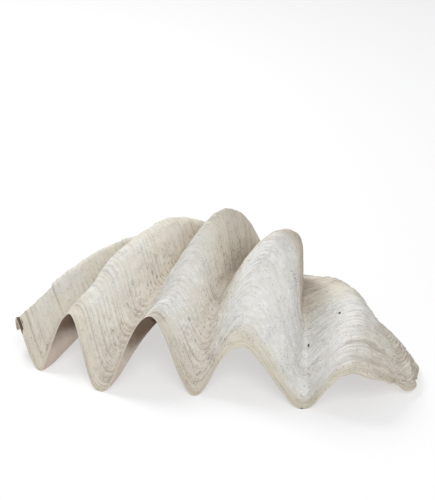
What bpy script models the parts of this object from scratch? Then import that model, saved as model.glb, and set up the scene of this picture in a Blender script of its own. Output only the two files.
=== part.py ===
"""Giant clam shell: one thick, folded valve that rests with its hollow side down.

Every line of the shell runs from the margin, the open edge, to the umbo, the beak where growth began.
In plan it runs straight apart from a small bow, and in height it is an arch. The margin is a closed
loop of front tips, which touch the ground, back edge points and the crests of five ribs between the
tips. Growth ledges follow the margin, because each was once the shell's edge.

Units are metres, +Z is up, and the ground is z = 0. +X is the shell's longest side.
"""

import bmesh
import bpy
import numpy as np

# Driving dimensions
# Front tips, from the right end to the left end: x, y, z, the line's lift and bow, the wall, the power
# of the line's arch, under 1 for a blunt edge and over 1 for a flared one, and where the arch is highest,
# under 1 for nearer the margin
TIPS = (
    (0.371, -0.120, 0.003, 0.070, 0.017, 0.009, 1.10, 0.89),
    (0.171, -0.198, 0.003, 0.088, 0.015, 0.009, 1.20, 1.00),
    (-0.026, -0.175, 0.003, 0.142, -0.008, 0.009, 1.47, 0.77),
    (-0.195, -0.180, 0.003, 0.160, 0.001, 0.009, 1.49, 0.85),
    (-0.322, -0.121, 0.003, 0.124, -0.041, 0.009, 1.41, 0.99),
    (-0.380, -0.047, 0.043, 0.140, -0.020, 0.009, 1.14, 0.91),
)
# Rib crests at the margin, each between two tips, with the same eight values
RIBS = (
    (0.267, -0.190, 0.073, 0.080, 0.049, 0.009, 1.11, 0.76),
    (0.060, -0.150, 0.092, 0.190, 0.048, 0.009, 1.27, 0.73),
    (-0.107, -0.128, 0.142, 0.185, 0.006, 0.009, 1.90, 1.08),
    (-0.256, -0.088, 0.109, 0.168, -0.003, 0.009, 1.53, 0.94),
    (-0.365, -0.078, 0.082, 0.118, -0.026, 0.009, 1.12, 1.12),
)
# How far each rib leans: over 1 moves its crest to the left
LEANS = (1.24, 1.06, 1.09, 1.31, 1.25)
# Back edge, from the left end round the hinge to the right end, with the same eight values
BACK = (
    (-0.325, 0.039, 0.033, 0.081, 0.000, 0.012, 0.92, 0.99),
    (-0.220, 0.138, 0.012, 0.060, 0.000, 0.018, 0.80, 1.00),
    (-0.050, 0.195, 0.003, 0.050, 0.000, 0.034, 0.75, 1.00),
    (0.120, 0.226, 0.003, 0.010, 0.000, 0.042, 0.70, 1.00),
    (0.226, 0.197, 0.003, 0.028, 0.000, 0.034, 0.74, 0.95),
    (0.308, 0.058, 0.006, 0.044, 0.000, 0.018, 0.78, 0.87),
    (0.378, -0.053, 0.007, 0.044, 0.000, 0.012, 0.98, 0.84),
)
UMBO = (0.118, 0.188, 0.047)
# A rib's section is a sine to this power: sharp at the margin, full at the middle of the shell
FOLD_AT_MARGIN = 1.38
FOLD_AT_MIDDLE = 0.68
TIP_ROUNDING = 0.27
# The hollow's lines end here, in front of the hinge
HOLLOW_END = (0.112, 0.170, 0.018)
# The hollow's folds shrink to this share at their end, where the ribs are filled with shell
HOLLOW_FOLD_SHARE = 0.3
# Shell above the hollow: at the margin, and added by the lines' end. Lines are compared at these shares
WALL_HEIGHT = 0.017
WALL_HEIGHT_ADDED = 0.014
HOLLOW_SHARES = np.linspace(0.1, 0.85, 16)
# The lowest 4 mm are worn flat
WORN = 0.004
# Middle of the shell's outline seen from above, which goes over the origin
CENTRE = (0.0002, 0.0142)

# Growth ledges
LEDGES = 13
LAST_LEDGE = 0.78
LEDGE_HEIGHT = 0.0045
LEDGE_STEP = 0.006

# Large steps, each from a pause in growth: where round the margin, how far they reach, the number of the
# ledge they join, counted from the margin, and their depth
BIG_STEPS = ((4.6, 0.6, 3, 0.005), (4.6, 0.5, 2, 0.002), (2.6, 0.35, 1, 0.004), (0.5, 0.5, 3, 0.002))

# Columns round the margin in each span between two points, and rows from the margin to the hollow's end
FRONT_COLUMNS = 18
BACK_COLUMNS = 4
UMBO_ROWS = (0.97, 0.92, 0.85)
HOLLOW_ROWS = (0.0, 0.03, 0.09, 0.18, 0.30, 0.45, 0.62, 0.80, 0.94)

KNOTS = np.array(TIPS + BACK)
CHALK = (0.72, 0.70, 0.65, 1.0)


def spline(u):
    """A closed smooth curve through the knots, whose tangents weigh the chords' lengths. u counts knots."""
    size = len(KNOTS)
    span = np.floor(u).astype(int)
    t = (u - span)[:, None]
    before, start, end, after = (KNOTS[(span + shift) % size] for shift in (-1, 0, 1, 2))
    chord_a, chord_b, chord_c = (
        np.linalg.norm((q - p)[:, :3], axis=1)[:, None]
        for p, q in ((before, start), (start, end), (end, after))
    )
    leave = (start - before) / chord_a - (end - before) / (chord_a + chord_b) + (end - start) / chord_b
    arrive = (end - start) / chord_b - (after - start) / (chord_b + chord_c) + (after - end) / chord_c
    even = 2 * t**3 - 3 * t**2
    return (
        (even + 1) * start
        + (t**3 - 2 * t**2 + t) * leave * chord_b
        - even * end
        + (t**3 - t**2) * arrive * chord_b
    )


def fold(u, p):
    """Each rib's share of its full height: 0 at a tip, 1 at its crest. Rows are p, columns are u."""
    rib = np.floor(u).astype(int)
    lean = np.array(LEANS + (1.0,))[np.minimum(rib, len(RIBS))]
    wave = np.where(rib < len(RIBS), np.sin(np.pi * (u - rib) ** lean), 0.0)
    power = FOLD_AT_MARGIN + (FOLD_AT_MIDDLE - FOLD_AT_MARGIN) * np.minimum(2 * p, 1)
    power = power[:, None]
    height = (wave**2 + TIP_ROUNDING**2) ** (power / 2)
    lowest = TIP_ROUNDING**power
    highest = (1 + TIP_ROUNDING**2) ** (power / 2)
    return (height - lowest) / (highest - lowest)


def rib_offsets(u):
    """What each rib adds to the values between its two tips."""
    rib = np.floor(u).astype(int)
    middles = spline(np.arange(len(RIBS)) + 0.5)
    added = np.vstack([np.array(RIBS) - middles, np.zeros(KNOTS.shape[1])])
    return added[np.minimum(rib, len(RIBS))]


def rise(values, p):
    """How far a line rises over its straight run: an arch, whose top moves along with the eighth value."""
    reached = p ** values[..., 7]
    return values[..., 3] * (4 * reached * (1 - reached)) ** values[..., 6]


def arches(values, end, p):
    """Lines from the margin to one end point: straight in plan with a bow, and an arch in height."""
    start = values[..., :3]
    run = np.array(end) - start
    length = np.hypot(run[..., 0], run[..., 1])
    p = p[:, None]
    bow = values[..., 4] * 4 * p * (1 - p)
    points = start + p[..., None] * run
    points[..., 0] += bow * run[..., 1] / length
    points[..., 1] -= bow * run[..., 0] / length
    points[..., 2] += rise(values, p)
    return points


def outside(u, p):
    """The outer surface before its growth ledges."""
    values = spline(u)[None] + fold(u, p)[..., None] * rib_offsets(u)[None]
    return arches(values, UMBO, p)


def outward(u, p):
    """Unit normals of the outer surface, from the two directions in which it runs."""
    step = 0.002
    p = np.clip(p, step, 1 - 2 * step)
    along = outside((u + step) % len(KNOTS), p) - outside((u - step) % len(KNOTS), p)
    inward = outside(u, p + step) - outside(u, p - step)
    normal = np.cross(along, inward)
    normal /= np.linalg.norm(normal, axis=2, keepdims=True)
    return normal * np.sign(normal[..., 2:].mean())


def ledge_places():
    """Where the ledges lie between the margin, 0, and the umbo, 1: close and uneven near the margin."""
    count = np.arange(1, LEDGES + 1)
    even = count / LEDGES
    return LAST_LEDGE * (even**1.15 + 0.012 * np.sin(2.4 * count))


def outer_rows():
    """Rows from the umbo to the margin, two at each ledge, and how far each row stands out."""
    places, heights = list(UMBO_ROWS), [0.0] * len(UMBO_ROWS)
    for place in ledge_places()[::-1]:
        height = LEDGE_HEIGHT * np.sqrt(1 - place)
        places += [place, place - LEDGE_STEP]
        heights += [height, 0.0]
    return np.array(places + [0.0]), np.array(heights + [LEDGE_HEIGHT / 2])


def big_steps(u, p):
    """How far the outer surface lies back between the margin and the large steps."""
    depth = np.zeros((len(p), len(u)))
    for middle, reach, number, full in BIG_STEPS:
        across = np.clip(1 - np.abs(u - middle) / reach, 0, 1)
        below = p < ledge_places()[number - 1] - LEDGE_STEP / 2
        depth += full * below[:, None] * across**2 * (3 - 2 * across)
    return depth


def hollow(u, p):
    """The inner surface: arches from the inner lip to the hollow's end, with folds that fade."""
    smooth = hollow_lines(spline(u), u)
    folded = hollow_lines(spline(u) + fold(u, np.zeros(1))[0][:, None] * rib_offsets(u), u)
    fade = HOLLOW_FOLD_SHARE + (1 - HOLLOW_FOLD_SHARE) * (1 - p) ** 2
    return arches(smooth + fade[:, None, None] * (folded - smooth), HOLLOW_END, p)


def hollow_lines(values, u):
    """Values of the inner lines. Each leaves the lip the way the outer line above it leaves its edge, and
    is the highest arch that keeps the wall's height below that outer line."""
    edge = values[:, :3]
    lip = edge - values[:, 5:6] * lip_direction(u, edge)
    out_x, out_y, out_length = plan_run(edge, UMBO)
    in_x, in_y, in_length = plan_run(lip, HOLLOW_END)
    share = HOLLOW_SHARES[:, None]
    above = np.clip((share * in_length + values[:, 5]) / out_length, 0, 1)
    roof = edge[:, 2] + above * (UMBO[2] - edge[:, 2]) + rise(values, above)
    floor = lip[:, 2] + share * (HOLLOW_END[2] - lip[:, 2])
    wall = WALL_HEIGHT + WALL_HEIGHT_ADDED * share
    inner = values.copy()
    inner[:, :3] = lip
    inner[:, 3] = 1
    inner[:, 3] = ((roof - wall - floor) / rise(inner, share)).min(axis=0)
    turn = (in_x * out_y - in_y * out_x) / out_length
    inner[:, 4] = values[:, 4] * in_length / out_length - turn / 4
    return inner


def plan_run(points, end):
    """The way from the points to the end seen from above: along x, along y, and its length."""
    run_x, run_y = end[0] - points[:, 0], end[1] - points[:, 1]
    return run_x, run_y, np.hypot(run_x, run_y)


def inward_level(u):
    """Level directions from the margin into the shell."""
    level = -outward(u, np.full(1, 0.02))[0] * (1, 1, 0)
    return level / np.linalg.norm(level, axis=1, keepdims=True)


def lip_direction(u, edge):
    """Across the shell's wall at its edge: level near the ground, square to the wall above it."""
    high = np.clip(edge[:, 2:] / 0.04, 0, 1)
    across = outward(u, np.full(1, 0.02))[0] * high - inward_level(u) * (1 - high)
    return across / np.linalg.norm(across, axis=1, keepdims=True)


def columns():
    """Places round the margin, closer together on the ribs than on the back edge."""
    front = np.arange(len(RIBS) * FRONT_COLUMNS) / FRONT_COLUMNS
    back = np.arange((len(KNOTS) - len(RIBS)) * BACK_COLUMNS) / BACK_COLUMNS + len(RIBS)
    return np.append(np.concatenate([front, back]), 0.0)


def shell_points():
    """All rows: the umbo, the outer surface, the lip, the hollow and its top."""
    u = columns()
    places, heights = outer_rows()
    stand = heights[:, None] - big_steps(u, places)
    outer = outside(u, places) + stand[..., None] * outward(u, places)
    inner = hollow(u, np.array(HOLLOW_ROWS))
    umbo = np.broadcast_to(UMBO, (1, len(u), 3))
    top = np.broadcast_to(HOLLOW_END, (1, len(u), 3))
    points = np.concatenate([umbo, outer, inner, top])
    points[..., :2] -= CENTRE
    points[..., 2] = np.maximum(points[..., 2] - WORN, 0)
    return points


def make_shell(name):
    """A flat grid bent into the closed shell, with its seam and its two end rows merged."""
    points = shell_points()
    rows, across = points.shape[:2]
    mesh = bpy.data.meshes.new(name)
    shape = bmesh.new()
    bmesh.ops.create_grid(shape, x_segments=across - 1, y_segments=rows - 1, size=1)
    for vert, place in zip(shape.verts, points.reshape(-1, 3)):
        vert.co = place
    bmesh.ops.remove_doubles(shape, verts=shape.verts, dist=1e-6)
    bmesh.ops.recalc_face_normals(shape, faces=shape.faces)
    bmesh.ops.triangulate(shape, faces=shape.faces)
    shape.to_mesh(mesh)
    shape.free()
    return bpy.data.objects.new(name, mesh)


def chalky_white():
    """The bleached, chalky white of an old shell."""
    material = bpy.data.materials.new("chalky_shell")
    material.use_nodes = True
    surface = material.node_tree.nodes["Principled BSDF"]
    surface.inputs["Base Color"].default_value = CHALK
    surface.inputs["Roughness"].default_value = 0.75
    surface.inputs["Metallic"].default_value = 0.0
    return material


def main():
    for old in list(bpy.data.objects):
        bpy.data.objects.remove(old)
    group = bpy.data.collections.new("giant_clam_shell")
    bpy.context.scene.collection.children.link(group)
    shell = make_shell("valve")
    shell.data.materials.append(chalky_white())
    group.objects.link(shell)


main()
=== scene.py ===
"""Giant clam shell, dressed: a bleached, chalky old valve that rests with its hollow side down.

The shell is one closed surface on a grid of two values: u counts knots round the margin, and q runs
from the margin, 0, to the umbo, 1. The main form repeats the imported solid's formula. On it come growth
ledges, fine growth lines, broken layers, lumps, a ragged margin and a rounded lip.
Units are metres, +Z is up, and the ground is z = 0.
"""

import itertools
import math

import bpy
import numpy as np
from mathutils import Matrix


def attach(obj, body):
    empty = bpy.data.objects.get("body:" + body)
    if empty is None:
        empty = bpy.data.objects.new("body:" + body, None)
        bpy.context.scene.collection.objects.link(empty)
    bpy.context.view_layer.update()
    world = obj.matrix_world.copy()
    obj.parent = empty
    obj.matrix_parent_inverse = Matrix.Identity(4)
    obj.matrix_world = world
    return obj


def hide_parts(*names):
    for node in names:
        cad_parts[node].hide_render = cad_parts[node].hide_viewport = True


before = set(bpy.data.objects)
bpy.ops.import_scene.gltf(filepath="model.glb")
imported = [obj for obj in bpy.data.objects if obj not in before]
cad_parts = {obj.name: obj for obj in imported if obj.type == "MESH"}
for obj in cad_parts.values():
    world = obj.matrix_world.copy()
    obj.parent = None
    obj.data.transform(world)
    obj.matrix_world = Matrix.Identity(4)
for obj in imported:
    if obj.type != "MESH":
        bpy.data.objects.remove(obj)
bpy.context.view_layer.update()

# The main form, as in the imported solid. A fitting program moved these values until the outline matched
# the photo's, and most of them are its results, rounded
# Front tips, from the right end to the left end: x, y, z, the line's lift and bow, the wall, and the
# power of the line's arch and where it is highest
TIPS = (
    (0.371, -0.120, 0.003, 0.070, 0.017, 0.009, 1.10, 0.89),
    (0.171, -0.198, 0.003, 0.088, 0.015, 0.009, 1.20, 1.00),
    (-0.026, -0.175, 0.003, 0.142, -0.008, 0.009, 1.47, 0.77),
    (-0.195, -0.180, 0.003, 0.160, 0.001, 0.009, 1.49, 0.85),
    (-0.322, -0.121, 0.003, 0.124, -0.041, 0.009, 1.41, 0.99),
    (-0.380, -0.047, 0.043, 0.140, -0.020, 0.009, 1.14, 0.91),
)
# Rib crests at the margin, each between two tips, with the same eight values
RIBS = (
    (0.267, -0.190, 0.073, 0.080, 0.049, 0.009, 1.11, 0.76),
    (0.060, -0.150, 0.092, 0.190, 0.048, 0.009, 1.27, 0.73),
    (-0.107, -0.128, 0.142, 0.185, 0.006, 0.009, 1.90, 1.08),
    (-0.256, -0.088, 0.109, 0.168, -0.003, 0.009, 1.53, 0.94),
    (-0.365, -0.078, 0.082, 0.118, -0.026, 0.009, 1.12, 1.12),
)
# How far each rib leans: over 1 moves its crest to the left
LEANS = (1.24, 1.06, 1.09, 1.31, 1.25)
# Back edge, from the left end round the hinge to the right end, with the same eight values
BACK = (
    (-0.325, 0.039, 0.033, 0.081, 0.000, 0.012, 0.92, 0.99),
    (-0.220, 0.138, 0.012, 0.060, 0.000, 0.018, 0.80, 1.00),
    (-0.050, 0.195, 0.003, 0.050, 0.000, 0.034, 0.75, 1.00),
    (0.120, 0.226, 0.003, 0.010, 0.000, 0.042, 0.70, 1.00),
    (0.226, 0.197, 0.003, 0.028, 0.000, 0.034, 0.74, 0.95),
    (0.308, 0.058, 0.006, 0.044, 0.000, 0.018, 0.78, 0.87),
    (0.378, -0.053, 0.007, 0.044, 0.000, 0.012, 0.98, 0.84),
)
UMBO = (0.118, 0.188, 0.047)
FOLD_AT_MARGIN = 1.38
FOLD_AT_MIDDLE = 0.68
TIP_ROUNDING = 0.27
HOLLOW_END = (0.112, 0.170, 0.018)
HOLLOW_FOLD_SHARE = 0.3
WALL_HEIGHT = 0.017
WALL_HEIGHT_ADDED = 0.014
HOLLOW_SHARES = np.linspace(0.1, 0.85, 16)
# The wall's direction at the lip: the row it is taken from, and the edge's height from which it is
# square to the wall
LIP_NORMAL_ROW = 0.02
HIGH_EDGE = 0.04
WORN = 0.004
CENTRE = (0.0002, 0.0142)
KNOTS = np.array(TIPS + BACK)

# The grid: its columns are spaced along one row of the surface
COLUMNS = 390
BACK_SHARE = 0.45
SPACING_SAMPLES = 6000
SPACING_ROW = 0.2
FIRST_ROW = 0.995
FIRST_EDGE = 0.985
LINES_PER_LEDGE = 1
INNER_ROWS = 30
INNER_SPACING = 1.35
LIP_ROWS = 5

# Growth ledges: places and gaps are shares of the way from margin to umbo, heights are metres
FIRST_LEDGE = 0.006
LEDGE_GAP_AT_MARGIN = 0.008
LEDGE_GAP = 0.0145
LEDGE_GAP_REACH = 0.1
LEDGE_GAP_SPREAD = 0.6
LAST_LEDGE = 0.93
LEDGE_HEIGHT = 0.0012
LEDGE_DROP = 0.0018
LEDGE_CURVE = 1.5
MARGIN_RISE = 0.4
LINE_HEIGHT = 0.00035
SEED = 11
LINE_SEED = SEED + 5
# How far ledges and lines stand out: the usual share of their height, and how much noise changes it
LEDGE_STRENGTH = 0.75
LEDGE_WIDE_CHANGE = 0.75
LEDGE_SMALL_CHANGE = 0.5
WEAKEST_LEDGE, STRONGEST_LEDGE = 0.05, 2.0
LINE_STRENGTH = 0.6
LINE_CHANGE = 0.5
# Towards the umbo all of these fade to a share of their height
UMBO_REACH = 0.15
UMBO_HEIGHT_SHARE = 0.25
# How far growth lines wander, and the reaches in which the wander grows from the margin and the umbo
WIDE_WANDER = 0.007
SMALL_WANDER = 0.0022
WANDER_MARGIN_REACH = 0.05
WANDER_UMBO_REACH = 0.1
# Broken layers and the right end's plates: how many ledges wide each is, its height, and how far its noise
# is raised, which makes it cover more than half of the surface
LAYER_LEDGES = 5
LAYER_HEIGHT = 0.0022
LAYER_COVER = 0.2
PLATE_LEDGES = 4
PLATE_HEIGHT = 0.012
PLATE_COVER = 0.3
# Layers are lower at the margin, and fade out towards the umbo
LAYER_MARGIN_REACH = 0.02
LAYER_MARGIN_SHARE = 0.3
LAYER_UMBO_REACH = 0.3
# Lumps: height, size and seed
LUMPS = ((0.0024, 0.045, 7), (0.0008, 0.013, 8))

# Growth noise: its bumps per knot round the margin, its bumps per way to the umbo, and its seed
PATTERNS = {
    "wide wander": (1.4, 7, 1),
    "small wander": (6, 16, 2),
    "wide strength": (3, 2.3, 3),
    "small strength": (9, 3.1, 4),
    "line strength": (5, 60, 6),
    "wide chips": (9, 1, 9),
    "small chips": (22, 1, 10),
    "right wander": (20, 12, 12),
    "layers": (2.5, 3.3, 13),
    "plates": (9, 3.7, 14),
}
# Ledges, layers and plates read it by their number, divided by these
LEDGE_NOISE_STEPS = 3.0
LAYER_NOISE_STEPS = 2.0

# How dark each valley is made, from the right end to the left end: partly dirt, partly painted shade in the
# folds
VALLEY_DIRT_AND_SHADE = (0.25, 0.45, 0.8, 1.0, 0.5, 0.2)
# The back's dirt, and how far round the margin the front valleys' darkening gives way to it
BACK_DIRT = 0.45
BACK_BLEND = 0.5
JUST_UNDER_ONE = 0.999999
# Brown patches: where round the margin, how far to the umbo, their two reaches and how strong
PATCHES = (
    (3.3, 0.62, 0.5, 0.2, 0.8),
    # This one darkens the middle rib's right flank towards the back
    (2.1, 0.72, 0.25, 0.15, 0.9),
    (0.9, 0.70, 0.4, 0.2, 0.6),
    (0.2, 0.08, 0.7, 0.3, 1.1),
    (12.7, 0.1, 0.6, 0.4, 0.2),
    (1.5, 0.52, 0.7, 0.25, 1.1),
    (9.0, 0.10, 2.2, 0.9, 0.55),
    (9.0, 0.00, 1.0, 0.4, 0.5),
    (7.5, 0.30, 1.2, 0.3, 0.3),
    (11.0, 0.25, 0.8, 0.3, 0.3),
    (0.55, 0.62, 0.5, 0.2, 0.5),
)

# Black pits, by place round the margin and on the way to the umbo, and their size in shares of that way
PITS = ((1.82, 0.29), (0.69, 0.288), (0.96, 0.24), (12.75, 0.15))
PIT_SIZE = 0.0075
# One knot's length round the margin, in shares of the way to the umbo, so that pits come out round
ROUND_TO_WAY = 0.57

# Large steps: where round the margin, their reach, their place, and their depth
BIG_STEPS = (
    (4.6, 0.6, 0.149, 0.005),
    (4.6, 0.7, 0.040, 0.002),
    (4.6, 0.5, 0.078, 0.002),
    (2.6, 0.35, 0.047, 0.005),
    (0.5, 0.55, 0.125, 0.004),
)
BIG_STEP_WIDTH = 0.006
STEP_FOOT_REACH = 0.007
# How bleached each span round the margin is, from the right end by its ribs and tips to the back
BLEACHED_AT = (0, 0.5, 1, 1.5, 2, 2.5, 3, 3.5, 4, 4.5, 5, 6, 7, 11, 12.3, 13)
BLEACHED = (0.3, 1.35, 1.1, 0.95, 0.5, 0.75, 0.5, 0.48, 0.4, 0.3, 0.35, 0.4, 0.3, 0.2, 0.2, 0.3)
# The margin is less bleached, and so is the shell from about a fifth of the way to the umbo on
BLEACH_MARGIN_REACH = 0.08
BLEACH_MARGIN_SHARE = 0.3
BLEACH_FADE_FROM = 1.75
BLEACH_FADE_SLOPE = 3.4
BLEACH_LEAST = 0.1

# The margin
LIP_SHARE = 0.5
LIP_TAPER = 0.06
LIP_BULGE = 0.6
LIP_AWAY_ROW = 0.03
CHIP_REACH = 0.08
CHIP_DEPTH = 0.003
WIDE_CHIP_SHARE, SMALL_CHIP_SHARE = 0.6, 0.4
# The broken right end: its place round the margin, its reach there, and how far up its form and its
# finish go
RIGHT_END = 12.9
RIGHT_END_REACH = 1.2
RIGHT_FORM_REACH = 0.35
RIGHT_FINISH_REACH = 0.4
# What is added there to the wander and the ledges' strength, and its own lumps and chips
RIGHT_WANDER = 0.006
RIGHT_STRENGTH = 1.5
RIGHT_LUMP_HEIGHT = 0.004
RIGHT_LUMP_SIZE = 0.011
RIGHT_LUMP_SEED = 15
RIGHT_CHIP_DEPTH = 0.05


def spline(u):
    """A closed smooth curve through the knots, whose tangents weigh the chords' lengths. u counts knots."""
    size = len(KNOTS)
    span = np.floor(u).astype(int)
    t = (u - span)[:, None]
    before, start, end, after = (KNOTS[(span + shift) % size] for shift in (-1, 0, 1, 2))
    chord_a, chord_b, chord_c = (
        np.linalg.norm((q - p)[:, :3], axis=1)[:, None]
        for p, q in ((before, start), (start, end), (end, after))
    )
    leave = (start - before) / chord_a - (end - before) / (chord_a + chord_b) + (end - start) / chord_b
    arrive = (end - start) / chord_b - (after - start) / (chord_b + chord_c) + (after - end) / chord_c
    even = 2 * t**3 - 3 * t**2
    return (
        (even + 1) * start
        + (t**3 - 2 * t**2 + t) * leave * chord_b
        - even * end
        + (t**3 - t**2) * arrive * chord_b
    )


def fold(u, p):
    """Each rib's share of its full height, 0 at a tip and 1 at its crest: a sine to a power that falls
    from the margin to the middle. Rows are p, columns are u."""
    rib = np.floor(u).astype(int)
    lean = np.array(LEANS + (1.0,))[np.minimum(rib, len(RIBS))]
    wave = np.where(rib < len(RIBS), np.sin(np.pi * (u - rib) ** lean), 0.0)
    power = FOLD_AT_MARGIN + (FOLD_AT_MIDDLE - FOLD_AT_MARGIN) * np.minimum(2 * p, 1)
    height = (wave**2 + TIP_ROUNDING**2) ** (power / 2)
    lowest = TIP_ROUNDING**power
    highest = (1 + TIP_ROUNDING**2) ** (power / 2)
    return (height - lowest) / (highest - lowest)


def rib_offsets(u):
    """What each rib adds to the values between its two tips."""
    rib = np.floor(u).astype(int)
    middles = spline(np.arange(len(RIBS)) + 0.5)
    added = np.vstack([np.array(RIBS) - middles, np.zeros(KNOTS.shape[1])])
    return added[np.minimum(rib, len(RIBS))]


def rise(values, p):
    """How far a line rises over its straight run: an arch, whose top moves along with the eighth value."""
    reached = p ** values[..., 7]
    return values[..., 3] * (4 * reached * (1 - reached)) ** values[..., 6]


def arches(values, end, p):
    """Lines from the margin to one end point: straight in plan with a bow, and an arch in height."""
    start = values[..., :3]
    run = np.array(end) - start
    length = np.hypot(run[..., 0], run[..., 1])
    bow = values[..., 4] * 4 * p * (1 - p)
    points = start + p[..., None] * run
    points[..., 0] += bow * run[..., 1] / length
    points[..., 1] -= bow * run[..., 0] / length
    points[..., 2] += rise(values, p)
    return points


def outside(u, p):
    """The outer surface before its growth ledges: arches to the umbo, with the ribs' share added."""
    values = spline(u)[None] + fold(u, p)[..., None] * rib_offsets(u)[None]
    return arches(values, UMBO, p)


def outward(u, p):
    """Unit normals of the outer surface, from the two directions in which it runs."""
    step = 0.002
    p = np.clip(p, step, 1 - 2 * step)
    along = outside((u + step) % len(KNOTS), p) - outside((u - step) % len(KNOTS), p)
    inward = outside(u, p + step) - outside(u, p - step)
    normal = np.cross(along, inward)
    normal /= np.linalg.norm(normal, axis=2, keepdims=True)
    return normal * np.sign(normal[..., 2:].mean())


def plan_run(points, end):
    """The way from the points to the end seen from above: along x, along y, and its length."""
    run_x, run_y = end[0] - points[:, 0], end[1] - points[:, 1]
    return run_x, run_y, np.hypot(run_x, run_y)


def lip_direction(u, edge):
    """Across the shell's wall at its edge: level near the ground, square to the wall above it."""
    normal = outward(u, np.full((1, len(u)), LIP_NORMAL_ROW))[0]
    level = normal * (1, 1, 0)
    level /= np.linalg.norm(level, axis=1, keepdims=True)
    high = np.clip(edge[:, 2:] / HIGH_EDGE, 0, 1)
    across = normal * high + level * (1 - high)
    return across / np.linalg.norm(across, axis=1, keepdims=True)


def hollow_lines(values, u):
    """Values of the inner lines. Each leaves the lip the way the outer line above it leaves its edge, and
    is the highest arch that keeps the wall's height below that outer line."""
    edge = values[:, :3]
    start = edge - values[:, 5:6] * lip_direction(u, edge)
    out_x, out_y, out_length = plan_run(edge, UMBO)
    in_x, in_y, in_length = plan_run(start, HOLLOW_END)
    share = HOLLOW_SHARES[:, None]
    above = np.clip((share * in_length + values[:, 5]) / out_length, 0, 1)
    roof = edge[:, 2] + above * (UMBO[2] - edge[:, 2]) + rise(values, above)
    floor = start[:, 2] + share * (HOLLOW_END[2] - start[:, 2])
    wall = WALL_HEIGHT + WALL_HEIGHT_ADDED * share
    inner = values.copy()
    inner[:, :3] = start
    inner[:, 3] = 1
    inner[:, 3] = ((roof - wall - floor) / rise(inner, share)).min(axis=0)
    turn = (in_x * out_y - in_y * out_x) / out_length
    inner[:, 4] = values[:, 4] * in_length / out_length - turn / 4
    return inner


def hollow(u, p):
    """The inner surface: arches from the inner lip to the hollow's end, with folds that fade."""
    smooth = hollow_lines(spline(u), u)
    at_margin = fold(u, np.zeros((1, len(u))))[0][:, None]
    folded = hollow_lines(spline(u) + at_margin * rib_offsets(u), u)
    fade = HOLLOW_FOLD_SHARE + (1 - HOLLOW_FOLD_SHARE) * (1 - p) ** 2
    return arches(smooth + fade[..., None] * (folded - smooth), HOLLOW_END, p)


def value_noise(points, seed):
    """Smooth noise from -1 to 1: seeded values at whole-number places, blended by smoothstep."""
    size = 32
    table = np.random.default_rng(SEED + seed).uniform(-1, 1, (size, size, size))
    cell = np.floor(points).astype(int)
    t = points - cell
    t = t * t * (3 - 2 * t)
    total = 0
    for corner in itertools.product((0, 1), repeat=3):
        weight = np.prod(np.where(corner, t, 1 - t), axis=-1)
        index = (cell + corner) % size
        total = total + weight * table[index[..., 0], index[..., 1], index[..., 2]]
    return total


def growth_noise(u, q, pattern):
    """Noise that runs with the growth lines, with the bumps and the seed of its pattern."""
    per_knot, per_way, seed = PATTERNS[pattern]
    angle = 2 * np.pi * u / len(KNOTS)
    radius = per_knot * len(KNOTS) / (2 * np.pi)
    ring = np.stack([np.cos(angle), np.sin(angle)], axis=-1) * radius
    u_part = np.broadcast_to(ring, q.shape + (2,))
    return value_noise(np.concatenate([u_part, (q * per_way)[..., None]], axis=-1), seed)


def near(value, middle, reach):
    """A smooth hill: 1 at the middle, 0 past its reach."""
    t = np.clip(1 - np.abs(value - middle) / reach, 0, 1)
    return t * t * (3 - 2 * t)


def round_the_margin(u, middle, reach):
    """The same hill round the closed margin."""
    size = len(KNOTS)
    return near((u - middle + size / 2) % size, size / 2, reach)


def right_end(u, q, reach):
    """A hill over the broken right end: 1 at its margin, 0 past this reach towards the umbo."""
    return round_the_margin(u, RIGHT_END, RIGHT_END_REACH) * near(q, 0, reach)


def columns():
    """Places round the margin, evenly spaced along the folds, and wider apart on the back edge."""
    fine = np.linspace(0, len(KNOTS), SPACING_SAMPLES, endpoint=False)
    ring = outside(fine, np.full((1, len(fine)), SPACING_ROW))[0]
    length = np.linalg.norm(np.roll(ring, -1, axis=0) - ring, axis=1)
    length *= np.where(fine < len(RIBS), 1, BACK_SHARE)
    travelled = np.concatenate([[0], np.cumsum(length)])
    ends = np.append(fine, len(KNOTS))
    return np.interp(np.linspace(0, travelled[-1], COLUMNS, endpoint=False), travelled, ends)


def ledge_places():
    """Where the ledges lie between margin and umbo: each gap is its usual width times a seeded share."""
    random = np.random.default_rng(SEED)
    places, place = [], FIRST_LEDGE
    while place < LAST_LEDGE:
        places.append(place)
        widened = min(place / LEDGE_GAP_REACH, 1)
        usual = LEDGE_GAP_AT_MARGIN + (LEDGE_GAP - LEDGE_GAP_AT_MARGIN) * widened
        place += usual * (1 + LEDGE_GAP_SPREAD * random.uniform(-1, 1))
    return np.array(places)


def outer_rows():
    """Rows from the umbo to the margin. Each ledge has a lip row and a foot row just below its drop,
    with line rows between ledges. Returns each row's place, its rise as a share of the ledge that it
    climbs to, that ledge's number, and whether it is a foot."""
    places = ledge_places()
    edges = np.append(places, FIRST_EDGE)
    rows = [(FIRST_ROW, 0.0, len(places), 0.0)]
    for number in range(len(places) - 1, -1, -1):
        edge, above = edges[number], edges[number + 1]
        foot = above - LEDGE_DROP
        for step in range(LINES_PER_LEDGE + 1):
            share = step / (LINES_PER_LEDGE + 1)
            rows.append((foot + (edge - foot) * share, share**LEDGE_CURVE, number, float(step == 0)))
        rows.append((edge, 1.0, number, 0.0))
    rows.append((places[0] - LEDGE_DROP, 0.0, 0, 1.0))
    rows.append((0.0, MARGIN_RISE, 0, 0.0))
    return [np.array(column) for column in zip(*rows)]


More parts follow.
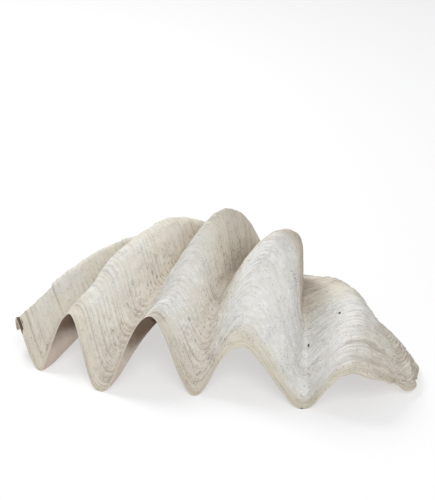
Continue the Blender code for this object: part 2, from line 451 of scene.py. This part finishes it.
def grown_surface(u):
    """The outer surface with its ledges, each row's place, and how dark the painted shadow at its ledges'
    feet is.
    Each row lies at its place plus a wander that bends the growth lines, and stands out by its ledge, layers,
    line and lumps, less the large steps."""
    place, climb, number, foot = outer_rows()
    q = np.broadcast_to(place[:, None], (len(place), len(u)))
    at_right = right_end(u, q, RIGHT_FORM_REACH)
    p = q + wander(u, q, at_right) + broken_back(u, q)
    strength = ledge_strength(u, q, number, at_right)
    height = LEDGE_HEIGHT * strength * climb[:, None]
    lines = np.random.default_rng(LINE_SEED).uniform(-1, 1, len(place))[:, None]
    height = height + layers(u, q, number, at_right)
    changed = LINE_STRENGTH + LINE_CHANGE * growth_noise(u, q, "line strength")
    height = height + LINE_HEIGHT * lines * changed
    height = height * np.clip((1 - q) / UMBO_REACH, UMBO_HEIGHT_SHARE, 1)
    points = outside(u, p)
    normal = outward(u, p)
    for lump_height, size, seed in LUMPS:
        height = height + lump_height * value_noise(points / size, seed)
    height = height + RIGHT_LUMP_HEIGHT * at_right * value_noise(points / RIGHT_LUMP_SIZE, RIGHT_LUMP_SEED)
    height = height - big_steps(u, q)
    # Painted shadow under each ledge, darker where the ledge stands out more, and under each large step
    painted_foot_shadow = foot[:, None] * strength / 2 * (1 - at_right) + step_foot_shadows(u, q)
    return points + height[..., None] * normal, q, painted_foot_shadow


def wander(u, q, at_right):
    """How far growth lines bend: two noises everywhere, a third at the right end, none at margin and umbo."""
    settle = np.clip(q / WANDER_MARGIN_REACH, 0, 1) * np.clip((1 - q) / WANDER_UMBO_REACH, 0, 1)
    bend = WIDE_WANDER * growth_noise(u, q, "wide wander") + SMALL_WANDER * growth_noise(u, q, "small wander")
    return (bend + RIGHT_WANDER * at_right * growth_noise(u, q, "right wander")) * settle


def ledge_strength(u, q, number, at_right):
    """How far each ledge stands out round the margin, as a share of its height: more at the right end."""
    ledge = np.broadcast_to(number[:, None] / LEDGE_NOISE_STEPS, q.shape)
    strength = LEDGE_STRENGTH + LEDGE_WIDE_CHANGE * growth_noise(u, ledge, "wide strength")
    strength = strength + LEDGE_SMALL_CHANGE * growth_noise(u, ledge, "small strength")
    return np.clip(strength, WEAKEST_LEDGE, STRONGEST_LEDGE) * (1 + RIGHT_STRENGTH * at_right)


def layers(u, q, number, at_right):
    """Broken growth layers and, at the right end, thicker plates: one height for several ledges together,
    by noise round the margin, so that each ends in a step."""
    thin = np.broadcast_to(np.floor(number / LAYER_LEDGES)[:, None] / LAYER_NOISE_STEPS, q.shape)
    thick = np.broadcast_to(np.floor(number / PLATE_LEDGES)[:, None] / LAYER_NOISE_STEPS, q.shape)
    settle = np.clip(q / LAYER_MARGIN_REACH, LAYER_MARGIN_SHARE, 1)
    settle = settle * np.clip((1 - q) / LAYER_UMBO_REACH, 0, 1)
    height = LAYER_HEIGHT * np.clip(growth_noise(u, thin, "layers") + LAYER_COVER, 0, 1) * settle
    plates = np.clip(growth_noise(u, thick, "plates") + PLATE_COVER, 0, 1)
    return height + PLATE_HEIGHT * at_right * plates


def valleys(u, q):
    """How deep in a fold each point of the front lies, times how dark that valley is made: partly dirt and
    partly painted shade in the crease. The back has its own amount of dirt all over."""
    front = np.minimum(u, len(RIBS))
    dirt = np.interp(front, np.arange(len(VALLEY_DIRT_AND_SHADE)), VALLEY_DIRT_AND_SHADE)
    on_front = np.clip((len(RIBS) + BACK_BLEND - u) / BACK_BLEND, 0, 1)
    return (1 - fold(front * JUST_UNDER_ONE, q)) * dirt * on_front + BACK_DIRT * (1 - on_front)


def bleaching(u, q):
    """How white the sun has bleached each point: by its rib, and less at the margin and near the umbo."""
    at_margin = np.clip(q / BLEACH_MARGIN_REACH, BLEACH_MARGIN_SHARE, 1)
    to_umbo = np.clip(BLEACH_FADE_FROM - BLEACH_FADE_SLOPE * q, BLEACH_LEAST, 1)
    return np.interp(u, BLEACHED_AT, BLEACHED) * at_margin * to_umbo


def big_steps(u, q):
    """How far the outer surface lies back between the margin and the large steps."""
    depth = 0
    for middle, reach, place, full in BIG_STEPS:
        below = np.clip((place - q) / BIG_STEP_WIDTH + 0.5, 0, 1)
        depth = depth + full * round_the_margin(u, middle, reach) * below
    return depth


def step_foot_shadows(u, q):
    """The painted shadow at the foot of each large step: a dark line."""
    total = np.zeros(q.shape)
    for middle, reach, place, _ in BIG_STEPS:
        foot = near(q, place - BIG_STEP_WIDTH, STEP_FOOT_REACH)
        total = total + round_the_margin(u, middle, reach) * foot
    return np.minimum(total, 1)


def patches(u, q):
    """Brown patches, each a hill round its place."""
    total = np.zeros(q.shape)
    for middle, place, reach, depth, amount in PATCHES:
        total = total + amount * round_the_margin(u, middle, reach) * near(q, place, depth)
    return total


def chips(u):
    """How far the margin is broken back, as a share of the way to the umbo: most at the right end."""
    flat = np.zeros((1, len(u)))
    wide = 0.5 + 0.5 * growth_noise(u, flat, "wide chips")[0]
    small = 0.5 + 0.5 * growth_noise(u, flat, "small chips")[0]
    at_right = round_the_margin(u, RIGHT_END, RIGHT_END_REACH)
    both = WIDE_CHIP_SHARE * wide + SMALL_CHIP_SHARE * small
    return CHIP_DEPTH * wide + at_right * RIGHT_CHIP_DEPTH * both


def broken_back(u, q):
    """How far the chips move each row back: all the way at the margin, and nothing past their reach."""
    return chips(u) * np.clip(1 - q / CHIP_REACH, 0, 1) ** 2


def inner_surface(u):
    """The hollow from the lip's inner edge to its end. Its edge tapers towards the outer surface."""
    place = np.linspace(0, 1, INNER_ROWS + 1)[:-1] ** INNER_SPACING
    q = np.broadcast_to(place[:, None], (len(place), len(u)))
    p = q + broken_back(u, q)
    points = hollow(u, p)
    outer = outside(u, p[:1])
    taper = LIP_SHARE * np.clip(1 - q / LIP_TAPER, 0, 1) ** 2
    points = points + taper[..., None] * (outer - points[:1])
    return points, q


def lip(outer_edge, inner_edge, away):
    """The rounded lip between the two surfaces' edges: half an ellipse that bulges away from the shell."""
    theta = np.pi * np.arange(1, LIP_ROWS + 1)[:, None, None] / (LIP_ROWS + 1)
    middle = (outer_edge + inner_edge) / 2
    half = (inner_edge - outer_edge) / 2
    bulge = away * np.linalg.norm(half, axis=1, keepdims=True) * LIP_BULGE
    return middle - half * np.cos(theta) + bulge * np.sin(theta)


def shell_rows():
    """All rows of the closed shell, their u, their place from the margin, and the marks on them."""
    u = columns()
    outer, outer_q, foot = grown_surface(u)
    inner, inner_q = inner_surface(u)
    away = outer[-1] - outside(u, np.full((1, len(u)), LIP_AWAY_ROW))[0]
    away /= np.linalg.norm(away, axis=1, keepdims=True)
    edge = lip(outer[-1], inner[0], away)
    points = np.concatenate([outer, edge, inner])
    points[..., :2] -= CENTRE
    points[..., 2] = np.maximum(points[..., 2] - WORN, 0)
    lip_rows = np.zeros((LIP_ROWS, len(u)))
    blank = np.concatenate([lip_rows, inner_q * 0])
    marks = {
        "inside": np.concatenate([outer_q * 0, lip_rows + 0.5, inner_q * 0 + 1]),
        # The feet of ledges carry a painted shadow
        "foot": np.concatenate([foot, blank]),
        # The valleys' darkening is partly dirt and partly painted shade in the folds
        "valley": np.concatenate([valleys(u, outer_q), blank]),
        "stain": np.concatenate([patches(u, outer_q), blank]),
        "rough_end": np.concatenate([right_end(u, outer_q, RIGHT_FINISH_REACH), blank]),
        "bleached": np.concatenate([bleaching(u, outer_q), blank]),
        # How high in its fold's arch each inner point lies, which the finish turns into painted shade
        "arch": np.concatenate([outer_q * 0, lip_rows, np.where(u < len(RIBS), fold(u, inner_q), 0.5)]),
    }
    return points, u, np.concatenate([outer_q, lip_rows, inner_q]), marks


def pole(point):
    """One of the grid's two end points, in its place over the origin."""
    return np.array(point) - (*CENTRE, WORN)


def closed_faces(rows, across):
    """Quads between neighbouring rows, and a fan of triangles at each end. Faces point outwards."""
    row = np.arange(rows - 1)[:, None] * across
    here = np.arange(across)[None]
    there = (here + 1) % across
    quads = np.stack([row + here, row + across + here, row + across + there, row + there], axis=-1)
    first, last = rows * across, rows * across + 1
    base = (rows - 1) * across
    top_fan = np.stack([np.full(across, first), here[0], there[0]], axis=-1)
    end_fan = np.stack([np.full(across, last), base + there[0], base + here[0]], axis=-1)
    return quads.reshape(-1, 4), np.concatenate([top_fan, end_fan])


def make_shell(name, material):
    """The shell's one closed mesh, with the attributes that its finish reads."""
    points, u, place, marks = shell_rows()
    rows, across = points.shape[:2]
    flat = np.concatenate([points.reshape(-1, 3), [pole(UMBO), pole(HOLLOW_END)]])
    quads, fans = closed_faces(rows, across)
    mesh = bpy.data.meshes.new(name)
    mesh.from_pydata(flat.tolist(), [], quads.tolist() + fans.tolist())
    angle = 2 * np.pi * u / len(KNOTS)
    radius = len(KNOTS) / (2 * np.pi)
    ring = np.stack([np.cos(angle) * radius, np.sin(angle) * radius], axis=-1)
    growth = np.concatenate([np.broadcast_to(ring, place.shape + (2,)), place[..., None]], axis=-1)
    growth = np.concatenate([growth.reshape(-1, 3), [(0, 0, 1), (0, 0, 1)]])
    add_attribute(mesh, "growth", "FLOAT_VECTOR", "vector", growth)
    for key, values in marks.items():
        add_attribute(mesh, key, "FLOAT", "value", np.append(values.ravel(), (0, key == "inside")))
    mesh.polygons.foreach_set("use_smooth", np.ones(len(mesh.polygons), bool))
    mesh.materials.append(material)
    mesh.update()
    shell = bpy.data.objects.new(name, mesh)
    bpy.context.scene.collection.objects.link(shell)
    return shell


def add_attribute(mesh, name, kind, field, values):
    """A named value at each of the mesh's points."""
    attribute = mesh.attributes.new(name, kind, "POINT")
    attribute.data.foreach_set(field, values.astype(np.float32).ravel())


class Wire:
    """A shader socket that does sums: each operator adds the Math node that it stands for."""

    def __init__(self, finish, socket):
        self.finish = finish
        self.socket = socket

    def maths(self, operation, *terms):
        return self.finish.add("ShaderNodeMath", {"operation": operation}, dict(enumerate(terms)))

    def __add__(self, other):
        return self.maths("ADD", self, other)

    def __sub__(self, other):
        return self.maths("SUBTRACT", self, other)

    def __rsub__(self, other):
        return self.maths("SUBTRACT", other, self)

    def __mul__(self, other):
        return self.maths("MULTIPLY", self, other)

    __radd__ = __add__
    __rmul__ = __mul__


class Finish:
    """One material. add() makes every node, and shade() gives the results to its shader."""

    def __init__(self, name, **constants):
        self.material = bpy.data.materials.new(name)
        self.material.use_nodes = True
        self.tree = self.material.node_tree
        self.shader = self.tree.nodes["Principled BSDF"]
        for socket, value in constants.items():
            self.shader.inputs[socket.replace("_", " ")].default_value = value

    def add(self, kind, settings, sockets, output=0):
        """A node of this type: first its settings, then the values or links of its sockets."""
        node = self.tree.nodes.new(kind)
        for key, value in settings.items():
            setattr(node, key, value)
        for key, value in sockets.items():
            self.join(node.inputs[key], value)
        return Wire(self, node.outputs[output])

    def join(self, socket, value):
        if isinstance(value, Wire):
            self.tree.links.new(value.socket, socket)
        else:
            socket.default_value = value

    def attribute(self, name, output="Fac"):
        return self.add("ShaderNodeAttribute", {"attribute_name": name}, {}, output)

    def noise(self, vector, scale, detail, roughness, distortion=0.0):
        sockets = {"Vector": vector, "Scale": scale, "Detail": detail}
        sockets |= {"Roughness": roughness, "Distortion": distortion}
        return self.add("ShaderNodeTexNoise", {}, sockets)

    def stretch(self, vector, factors):
        """The vector with each part multiplied."""
        return self.add("ShaderNodeVectorMath", {"operation": "MULTIPLY"}, {0: vector, 1: factors})

    def ease(self, value, low, high):
        """0 below low, 1 above high, and smooth between them."""
        settings = {"interpolation_type": "SMOOTHSTEP"}
        return self.add("ShaderNodeMapRange", settings, {"Value": value, "From Min": low, "From Max": high})

    def pits(self, growth):
        """1 in each pit and 0 outside, from the distance to its middle along the surface."""
        near_surface = self.stretch(growth, (ROUND_TO_WAY, ROUND_TO_WAY, 1))
        radius = len(KNOTS) / (2 * np.pi) * ROUND_TO_WAY
        total = 0
        for round_place, way in PITS:
            angle = 2 * np.pi * round_place / len(KNOTS)
            middle = (float(np.cos(angle) * radius), float(np.sin(angle) * radius), way)
            sockets = {0: near_surface, 1: middle}
            distance = self.add("ShaderNodeVectorMath", {"operation": "DISTANCE"}, sockets, "Value")
            total = total + self.ease(PIT_SIZE - distance, 0.0, PIT_SIZE * 0.5)
        return total

    def blend(self, share, first, second):
        """The first colour where share is 0 and the second where it is 1."""
        sockets = {0: share, 6: first, 7: second}
        return self.add("ShaderNodeMix", {"data_type": "RGBA"}, sockets, 2)

    def shade(self, **sockets):
        for key, value in sockets.items():
            self.join(self.shader.inputs[key.replace("_", " ")], value)
        return self.material


# Colours
WHITE = (0.82, 0.815, 0.785, 1)
CHALK = (0.89, 0.89, 0.865, 1)
COOL_WHITE = (0.765, 0.77, 0.75, 1)
CREAM = (0.75, 0.71, 0.625, 1)
TAN = (0.61, 0.54, 0.45, 1)
BROWN = (0.38, 0.31, 0.24, 1)
STREAK = (0.22, 0.185, 0.15, 1)
OCHRE = (0.62, 0.555, 0.42, 1)
SPECK = (0.22, 0.21, 0.21, 1)
PIT_BLACK = (0.03, 0.028, 0.025, 1)
# Painted shade: the dark brown of the hollow towards the tops of its arches
HOLLOW_SHADE = (0.13, 0.085, 0.055, 1)
HOLLOW_PINK = (0.55, 0.46, 0.39, 1)
HOLLOW_PALE = (0.68, 0.63, 0.55, 1)
# Patterns along the growth lines: two values are bumps per knot round the margin, the third is bumps per
# way to the umbo
FINE_LINES = (5, 5, 260)
WIDE_LINES = (9, 9, 130)
SPECK_CELLS = (95, 95, 230)
STREAK_BREAKS = (34, 34, 60)
DASHES = (22, 22, 300)
# Patterns in space: bumps per metre
BLOTCHES = 9.0
CLOUDS = 30.0
CRUST = 70.0
GRAIN = 900.0
BUMP_HEIGHT = 0.0018
BUMP_STRENGTH = 0.9


def old_shell():
    """Bleached white on some ribs and cream on the others, with a chalk crust, brown dirt and dark streaks
    in the valleys and along the growth lines, painted shade deep in the valleys, painted shadow mixed with
    dirt at the feet of ledges, and a rough cream right end. Ochre layers at the rim, dark specks, black pits,
    and a pinkish hollow, painted dark brown towards its arch tops as painted shade."""
    finish = Finish("old_shell", Roughness=0.8)
    here = finish.add("ShaderNodeTexCoord", {}, {}, "Object")
    growth = finish.attribute("growth", "Vector")
    place = finish.add("ShaderNodeSeparateXYZ", {}, {0: growth}, 2)
    inside, foot, valley = (finish.attribute(key) for key in ("inside", "foot", "valley"))
    stain, bleached, arch = (finish.attribute(key) for key in ("stain", "bleached", "arch"))
    rough_end = finish.ease(finish.attribute("rough_end"), 0.1, 0.5)
    fine = finish.noise(finish.stretch(growth, FINE_LINES), 1.0, 4, 0.65)
    lines = finish.noise(finish.stretch(growth, WIDE_LINES), 1.0, 4, 0.65)
    blotches = finish.noise(here, BLOTCHES, 4, 0.6, 0.4)
    clouds = finish.noise(here, CLOUDS, 4, 0.7)
    grain = finish.noise(here, GRAIN, 3, 0.7)
    cells = finish.stretch(growth, SPECK_CELLS)
    speck = finish.add("ShaderNodeTexVoronoi", {}, {"Vector": cells, "Scale": 1.0}, "Distance")
    lot = finish.add("ShaderNodeTexVoronoi", {}, {"Vector": cells, "Scale": 1.0}, "Color")
    # Dirt from the patches and the unbleached parts, with the valleys' darkening, which is partly painted
    # shade
    dirt_and_shade = valley * 0.7 + stain + (1 - bleached) * 0.25
    broken = finish.ease(finish.noise(finish.stretch(growth, STREAK_BREAKS), 1.0, 3, 0.7), 0.45, 0.60)
    dashes = finish.ease(finish.noise(finish.stretch(growth, DASHES), 1.0, 2, 0.6), 0.56, 0.66)
    pits = finish.pits(growth)
    # Less white deep in the valleys, partly as painted shade
    white = finish.ease(bleached - valley * 0.4 + (clouds - 0.5) * 1.4 + (lines - 0.5) * 0.8, 0.2, 0.8)
    colour = finish.blend(white, CREAM, WHITE)
    colour = finish.blend(finish.ease(blotches, 0.45, 0.65) * white, colour, COOL_WHITE)
    colour = finish.blend(finish.ease(dirt_and_shade + clouds, 0.75, 1.5) * 0.75, colour, TAN)
    crust = finish.noise(here, CRUST, 5, 0.75)
    chalky = finish.ease(crust, 0.5, 0.62) * finish.ease(bleached, 0.3, 0.75) * 0.7
    colour = finish.blend(chalky, colour, CHALK)
    colour = finish.blend(finish.ease(0.5 - crust, 0.02, 0.16) * 0.35, colour, TAN)
    dirty_lines = finish.ease(lines, 0.48, 0.68) * broken * (1 - rough_end) * (dirt_and_shade * 0.75 + 0.05)
    colour = finish.blend(dirty_lines, colour, BROWN)
    colour = finish.blend(finish.ease(fine, 0.45, 0.7) * 0.3, colour, TAN)
    colour = finish.blend(dashes * broken * finish.ease(valley, 0.15, 0.6) * 0.85, colour, STREAK)
    # Painted shadow: a brown line at the feet of ledges, mixed with dirt and stronger where there is more of
    # it
    colour = finish.blend(finish.ease(foot * (clouds + dirt_and_shade), 0.1, 0.9) * 0.75, colour, BROWN)
    colour = finish.blend(rough_end * finish.ease(clouds, 0.35, 0.6) * 0.7, colour, CREAM)
    rim = finish.ease(0.045 - place + (clouds - 0.5) * 0.06, 0.0, 0.03)
    rim_layers = finish.blend(finish.ease(fine, 0.42, 0.58), OCHRE, CREAM)
    colour = finish.blend(rim * 0.6, colour, rim_layers)
    spots = finish.ease(0.38 - speck, 0.0, 0.2) * finish.ease(lot, 0.35, 0.75)
    spots = spots * finish.ease(clouds, 0.44, 0.56)
    colour = finish.blend(spots * (1 - inside) * 0.7, colour, SPECK)
    colour = finish.blend(pits * 0.9, colour, PIT_BLACK)
    # Painted shade in the hollow: dark brown high in each arch, most near the lip
    shade = finish.ease(arch - place * 0.6 + (clouds - 0.5) * 0.3, 0.3, 0.8)
    hollow_colour = finish.blend(finish.ease(blotches + place * 0.6, 0.45, 0.8), HOLLOW_PINK, HOLLOW_PALE)
    hollow_colour = finish.blend(finish.ease(fine, 0.5, 0.7) * 0.3, hollow_colour, BROWN)
    hollow_colour = finish.blend(shade, hollow_colour, HOLLOW_SHADE)
    colour = finish.blend(finish.ease(inside, 0.2, 0.5), colour, TAN)
    colour = finish.blend(finish.ease(inside, 0.6, 1.0), colour, hollow_colour)
    grooves = (fine * 0.5 + lines * 0.8) * (1 - rough_end * 0.7)
    rough = grooves + clouds * (rough_end + 0.5) + grain * 0.12 - spots * 0.5 - pits * 2
    sockets = {"Height": rough, "Distance": BUMP_HEIGHT, "Strength": BUMP_STRENGTH}
    bump = finish.add("ShaderNodeBump", {}, sockets)
    return finish.shade(Base_Color=colour, Normal=bump)


# The floor
FLOOR_COLOUR = (0.46, 0.46, 0.465, 1)
FLOOR_GLOW = 0.50
FLOOR_REACH = 20.0
FLOOR_LEVEL = -0.0004


def make_floor():
    """A plain pale floor that reaches past every view. Its own glow keeps its shadows pale."""
    finish = Finish("pale_floor", Roughness=0.9, Base_Color=FLOOR_COLOUR)
    finish.shade(Emission_Color=(1, 1, 1, 1), Emission_Strength=FLOOR_GLOW)
    mesh = bpy.data.meshes.new("floor")
    signs = ((-1, -1), (1, -1), (1, 1), (-1, 1))
    corners = [(x * FLOOR_REACH, y * FLOOR_REACH, FLOOR_LEVEL) for x, y in signs]
    mesh.from_pydata(corners, [], [(0, 1, 2, 3)])
    mesh.materials.append(finish.material)
    floor = bpy.data.objects.new("floor", mesh)
    bpy.context.scene.collection.objects.link(floor)
    return floor


# Studio light: where each lamp stands, its width and its power in watts
LAMPS = (
    ("key", (-1.4, 1.4, 2.4), 1.1, 52),
    ("fill", (0.5, -2.2, 2.6), 2.0, 48),
)
SKY = 0.42


def light_studio():
    """A pale room and soft lamps that face the shell."""
    world = bpy.data.worlds.new("pale_room")
    world.use_nodes = True
    world.node_tree.nodes["Background"].inputs["Strength"].default_value = SKY
    world.node_tree.nodes["Background"].inputs["Color"].default_value = (1, 1, 1, 1)
    bpy.context.scene.world = world
    for name, place, width, power in LAMPS:
        lamp = bpy.data.lights.new(name, "AREA")
        lamp.size = width
        lamp.energy = power
        lit = bpy.data.objects.new(name, lamp)
        lit.location = place
        lit.rotation_euler = (-lit.location).to_track_quat("-Z", "Y").to_euler()
        bpy.context.scene.collection.objects.link(lit)


# Camera: the photograph's view. The lens and the place below the middle are in the photograph's pixels
PHOTO_HEIGHT = 500
SENSOR_WIDTH = 36
FOCAL_PIXELS = 1270
AZIMUTH, ELEVATION, DISTANCE = 5.5, 31.1, 2.4
TARGET = (0, 0, 0.08)
TARGET_BELOW_MIDDLE = 60


def place_camera():
    """Looks from in front and above, tilted up so that the shell sits below the middle."""
    lens = bpy.data.cameras.new("camera")
    lens.sensor_width = SENSOR_WIDTH
    lens.lens = FOCAL_PIXELS * SENSOR_WIDTH / PHOTO_HEIGHT
    camera = bpy.data.objects.new("camera", lens)
    side, up = math.radians(AZIMUTH), math.radians(ELEVATION)
    back = np.array([math.sin(side) * math.cos(up), -math.cos(side) * math.cos(up), math.sin(up)])
    camera.location = pole(TARGET) + DISTANCE * back
    tilt = math.atan(TARGET_BELOW_MIDDLE / FOCAL_PIXELS)
    camera.rotation_euler = (math.pi / 2 - up + tilt, 0, side)
    bpy.context.scene.collection.objects.link(camera)
    bpy.context.scene.camera = camera


def main():
    shell = make_shell("clam_valve", old_shell())
    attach(shell, "root")
    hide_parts("valve")
    make_floor()
    light_studio()
    place_camera()
    bpy.context.scene.view_settings.view_transform = "Standard"


main()
